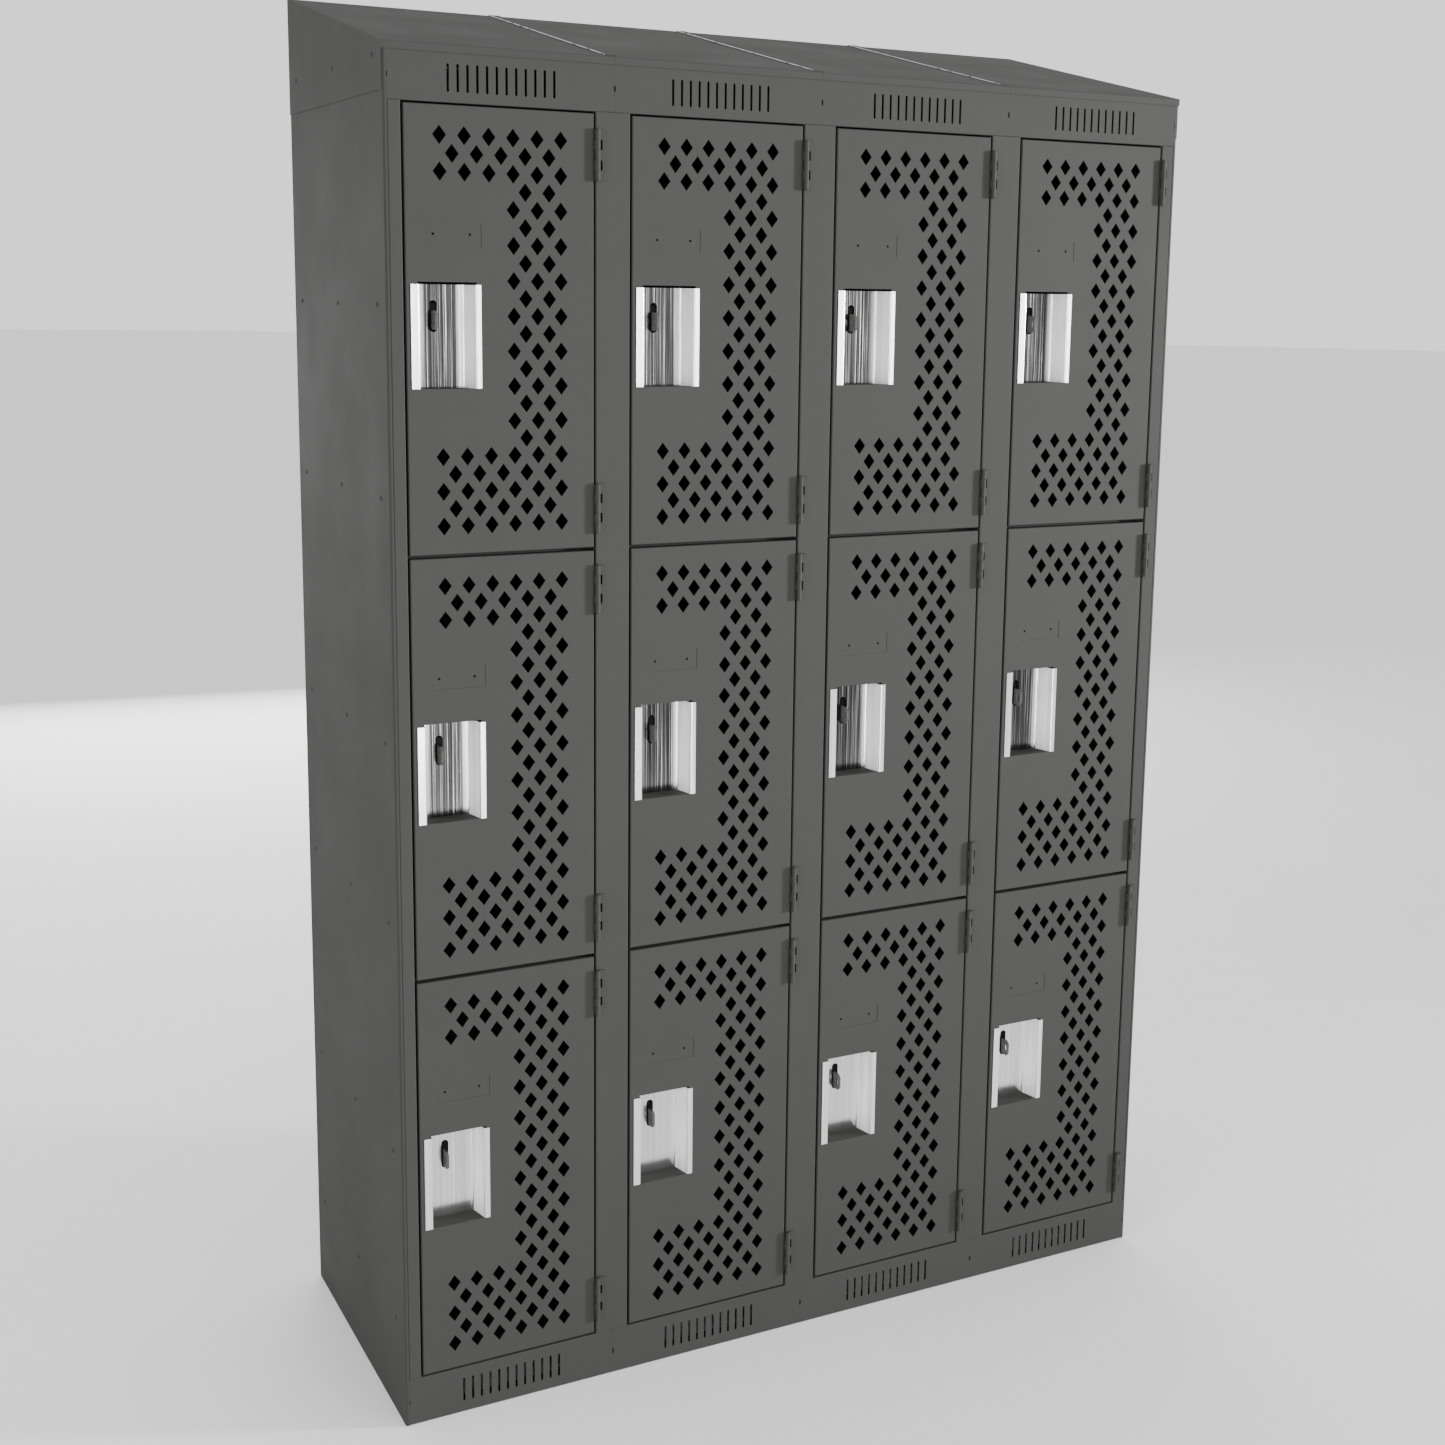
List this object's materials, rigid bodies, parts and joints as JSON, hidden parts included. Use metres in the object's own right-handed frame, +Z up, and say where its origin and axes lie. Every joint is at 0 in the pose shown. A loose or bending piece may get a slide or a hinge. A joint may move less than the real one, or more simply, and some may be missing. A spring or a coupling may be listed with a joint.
{
  "type": "locker cabinet",
  "caption": "Bank of ventilated steel lockers in tiers with diamond-perforated doors, recessed stainless handles, lift latches and a sloping top.",
  "frame": {"origin": "on the floor, in the middle of the footprint, hinge barrels included", "axes": "+X to the right seen from the front, +Y from the doors to the back, +Z up"},
  "size_m": [1.223, 0.4644, 1.9328],
  "materials": {
    "charcoal_paint": "satin powder coat",
    "brushed_stainless": "brushed along the height",
    "latch_grey": "satin",
    "zinc_plated_steel": "zinc plated"
  },
  "bodies": {
    "cabinet": {"side_panel_left": "charcoal_paint", "side_panel_right": "charcoal_paint", "partition_panels": "charcoal_paint", "back_panels": "charcoal_paint", "shelves": "charcoal_paint", "front_uprights": "charcoal_paint", "vent_rails": "charcoal_paint", "slope_tops": "charcoal_paint", "frame_hinge_leaves": "charcoal_paint", "latch_strikes": "zinc_plated_steel", "coat_hooks": "zinc_plated_steel", "panel_rivets": "charcoal_paint"},
    "door_bottom_1": {"door_bottom_1": "charcoal_paint", "handle_pan_bottom_1": "brushed_stainless", "door_hinges_bottom_1": "charcoal_paint"},
    "lift_latch_bottom_1": {"lift_latch_bottom_1": "latch_grey"},
    "door_middle_1": {"door_middle_1": "charcoal_paint", "handle_pan_middle_1": "brushed_stainless", "door_hinges_middle_1": "charcoal_paint"},
    "lift_latch_middle_1": {"lift_latch_middle_1": "latch_grey"},
    "door_top_1": {"door_top_1": "charcoal_paint", "handle_pan_top_1": "brushed_stainless", "door_hinges_top_1": "charcoal_paint"},
    "lift_latch_top_1": {"lift_latch_top_1": "latch_grey"},
    "door_bottom_2": {"door_bottom_2": "charcoal_paint", "handle_pan_bottom_2": "brushed_stainless", "door_hinges_bottom_2": "charcoal_paint"},
    "lift_latch_bottom_2": {"lift_latch_bottom_2": "latch_grey"},
    "door_middle_2": {"door_middle_2": "charcoal_paint", "handle_pan_middle_2": "brushed_stainless", "door_hinges_middle_2": "charcoal_paint"},
    "lift_latch_middle_2": {"lift_latch_middle_2": "latch_grey"},
    "door_top_2": {"door_top_2": "charcoal_paint", "handle_pan_top_2": "brushed_stainless", "door_hinges_top_2": "charcoal_paint"},
    "lift_latch_top_2": {"lift_latch_top_2": "latch_grey"},
    "door_bottom_3": {"door_bottom_3": "charcoal_paint", "handle_pan_bottom_3": "brushed_stainless", "door_hinges_bottom_3": "charcoal_paint"},
    "lift_latch_bottom_3": {"lift_latch_bottom_3": "latch_grey"},
    "door_middle_3": {"door_middle_3": "charcoal_paint", "handle_pan_middle_3": "brushed_stainless", "door_hinges_middle_3": "charcoal_paint"},
    "lift_latch_middle_3": {"lift_latch_middle_3": "latch_grey"},
    "door_top_3": {"door_top_3": "charcoal_paint", "handle_pan_top_3": "brushed_stainless", "door_hinges_top_3": "charcoal_paint"},
    "lift_latch_top_3": {"lift_latch_top_3": "latch_grey"},
    "door_bottom_4": {"door_bottom_4": "charcoal_paint", "handle_pan_bottom_4": "brushed_stainless", "door_hinges_bottom_4": "charcoal_paint"},
    "lift_latch_bottom_4": {"lift_latch_bottom_4": "latch_grey"},
    "door_middle_4": {"door_middle_4": "charcoal_paint", "handle_pan_middle_4": "brushed_stainless", "door_hinges_middle_4": "charcoal_paint"},
    "lift_latch_middle_4": {"lift_latch_middle_4": "latch_grey"},
    "door_top_4": {"door_top_4": "charcoal_paint", "handle_pan_top_4": "brushed_stainless", "door_hinges_top_4": "charcoal_paint"},
    "lift_latch_top_4": {"lift_latch_top_4": "latch_grey"}
  },
  "joints": [
    {"name": "door_hinge_bottom_1", "type": "hinge", "parent": "cabinet", "child": "door_bottom_1", "pos_m": [-0.3296, -0.2288, 0.34913], "axis": [0, 0, 1], "range_deg": [0, 120]},
    {"name": "latch_lift_bottom_1", "type": "slide", "parent": "door_bottom_1", "child": "lift_latch_bottom_1", "axis": [0, 0, 1], "range_m": [0, 0.01]},
    {"name": "door_hinge_middle_1", "type": "hinge", "parent": "cabinet", "child": "door_middle_1", "pos_m": [-0.3296, -0.2288, 0.9138], "axis": [0, 0, 1], "range_deg": [0, 120]},
    {"name": "latch_lift_middle_1", "type": "slide", "parent": "door_middle_1", "child": "lift_latch_middle_1", "axis": [0, 0, 1], "range_m": [0, 0.01]},
    {"name": "door_hinge_top_1", "type": "hinge", "parent": "cabinet", "child": "door_top_1", "pos_m": [-0.3296, -0.2288, 1.47847], "axis": [0, 0, 1], "range_deg": [0, 120]},
    {"name": "latch_lift_top_1", "type": "slide", "parent": "door_top_1", "child": "lift_latch_top_1", "axis": [0, 0, 1], "range_m": [0, 0.01]},
    {"name": "door_hinge_bottom_2", "type": "hinge", "parent": "cabinet", "child": "door_bottom_2", "pos_m": [-0.0248, -0.2288, 0.34913], "axis": [0, 0, 1], "range_deg": [0, 120]},
    {"name": "latch_lift_bottom_2", "type": "slide", "parent": "door_bottom_2", "child": "lift_latch_bottom_2", "axis": [0, 0, 1], "range_m": [0, 0.01]},
    {"name": "door_hinge_middle_2", "type": "hinge", "parent": "cabinet", "child": "door_middle_2", "pos_m": [-0.0248, -0.2288, 0.9138], "axis": [0, 0, 1], "range_deg": [0, 120]},
    {"name": "latch_lift_middle_2", "type": "slide", "parent": "door_middle_2", "child": "lift_latch_middle_2", "axis": [0, 0, 1], "range_m": [0, 0.01]},
    {"name": "door_hinge_top_2", "type": "hinge", "parent": "cabinet", "child": "door_top_2", "pos_m": [-0.0248, -0.2288, 1.47847], "axis": [0, 0, 1], "range_deg": [0, 120]},
    {"name": "latch_lift_top_2", "type": "slide", "parent": "door_top_2", "child": "lift_latch_top_2", "axis": [0, 0, 1], "range_m": [0, 0.01]},
    {"name": "door_hinge_bottom_3", "type": "hinge", "parent": "cabinet", "child": "door_bottom_3", "pos_m": [0.28, -0.2288, 0.34913], "axis": [0, 0, 1], "range_deg": [0, 120]},
    {"name": "latch_lift_bottom_3", "type": "slide", "parent": "door_bottom_3", "child": "lift_latch_bottom_3", "axis": [0, 0, 1], "range_m": [0, 0.01]},
    {"name": "door_hinge_middle_3", "type": "hinge", "parent": "cabinet", "child": "door_middle_3", "pos_m": [0.28, -0.2288, 0.9138], "axis": [0, 0, 1], "range_deg": [0, 120]},
    {"name": "latch_lift_middle_3", "type": "slide", "parent": "door_middle_3", "child": "lift_latch_middle_3", "axis": [0, 0, 1], "range_m": [0, 0.01]},
    {"name": "door_hinge_top_3", "type": "hinge", "parent": "cabinet", "child": "door_top_3", "pos_m": [0.28, -0.2288, 1.47847], "axis": [0, 0, 1], "range_deg": [0, 120]},
    {"name": "latch_lift_top_3", "type": "slide", "parent": "door_top_3", "child": "lift_latch_top_3", "axis": [0, 0, 1], "range_m": [0, 0.01]},
    {"name": "door_hinge_bottom_4", "type": "hinge", "parent": "cabinet", "child": "door_bottom_4", "pos_m": [0.5848, -0.2288, 0.34913], "axis": [0, 0, 1], "range_deg": [0, 120]},
    {"name": "latch_lift_bottom_4", "type": "slide", "parent": "door_bottom_4", "child": "lift_latch_bottom_4", "axis": [0, 0, 1], "range_m": [0, 0.01]},
    {"name": "door_hinge_middle_4", "type": "hinge", "parent": "cabinet", "child": "door_middle_4", "pos_m": [0.5848, -0.2288, 0.9138], "axis": [0, 0, 1], "range_deg": [0, 120]},
    {"name": "latch_lift_middle_4", "type": "slide", "parent": "door_middle_4", "child": "lift_latch_middle_4", "axis": [0, 0, 1], "range_m": [0, 0.01]},
    {"name": "door_hinge_top_4", "type": "hinge", "parent": "cabinet", "child": "door_top_4", "pos_m": [0.5848, -0.2288, 1.47847], "axis": [0, 0, 1], "range_deg": [0, 120]},
    {"name": "latch_lift_top_4", "type": "slide", "parent": "door_top_4", "child": "lift_latch_top_4", "axis": [0, 0, 1], "range_m": [0, 0.01]}
  ]
}
